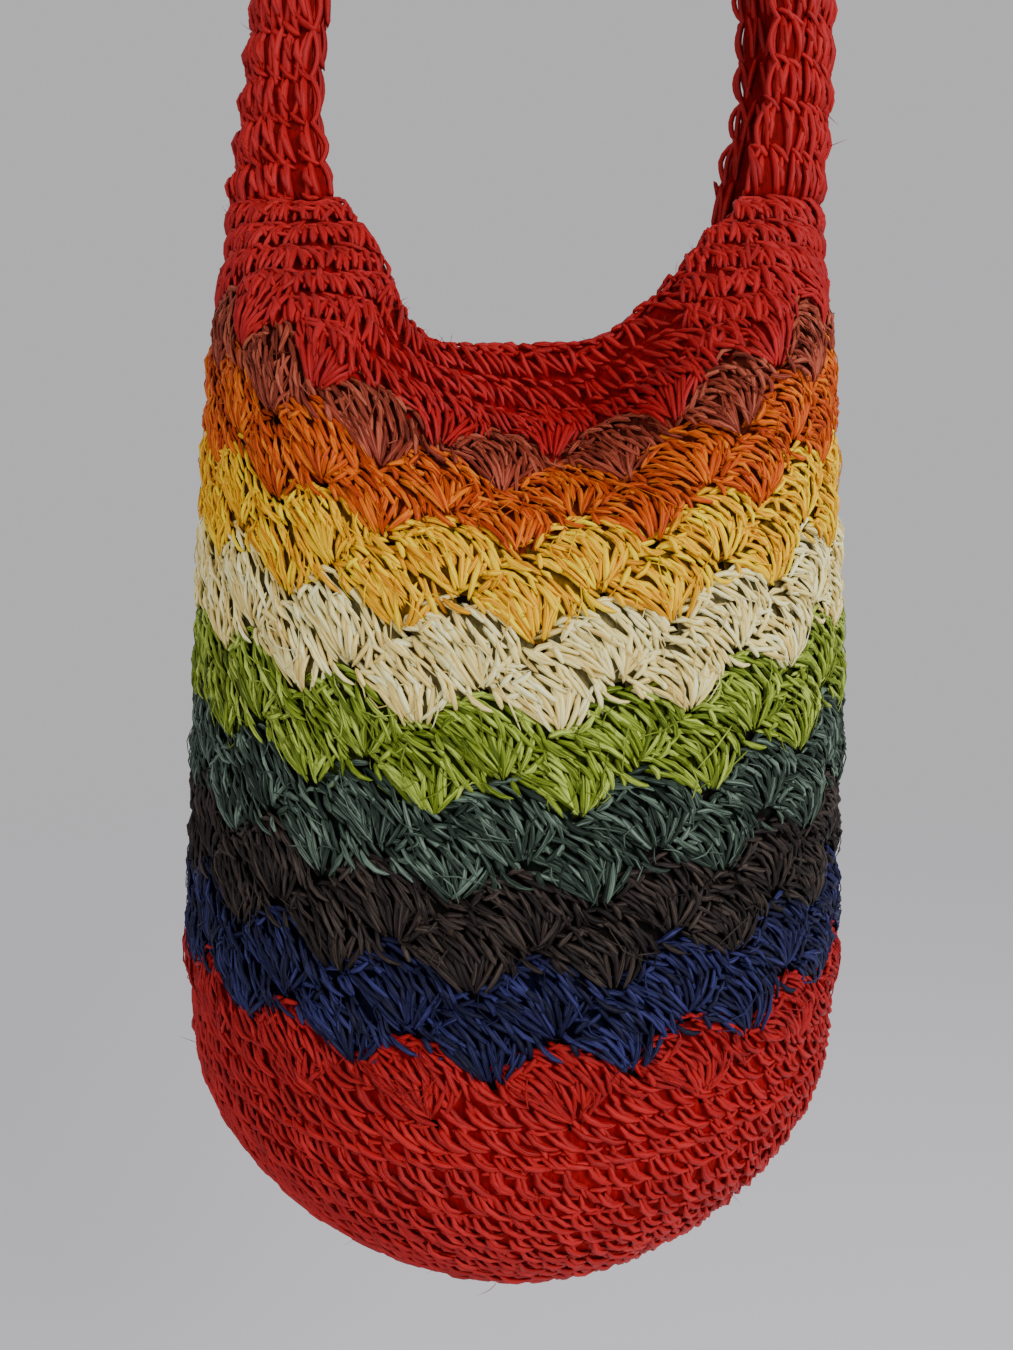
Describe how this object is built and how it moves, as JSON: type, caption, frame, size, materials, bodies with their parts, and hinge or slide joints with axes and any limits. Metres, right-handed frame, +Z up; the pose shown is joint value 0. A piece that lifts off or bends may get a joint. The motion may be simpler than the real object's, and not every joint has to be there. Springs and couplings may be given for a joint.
{
  "type": "shoulder bag",
  "caption": "Crocheted plant-fibre string shoulder bag in rainbow shell-stitch bands with a red rounded base, red gores and a wide folded strap, hanging.",
  "frame": {"origin": "middle of the strap's top edge, where the bag hangs", "axes": "+Z up, -Y towards the bag's full front, +X to the viewer's right"},
  "size_m": [0.2785, 0.2256, 0.803],
  "materials": {
    "bag_yarns": "matt plant-fibre string",
    "red_yarn": "matt plant-fibre string"
  },
  "bodies": {
    "root": {"bag_body": "bag_yarns", "shoulder_strap": "red_yarn"}
  },
  "joints": []
}
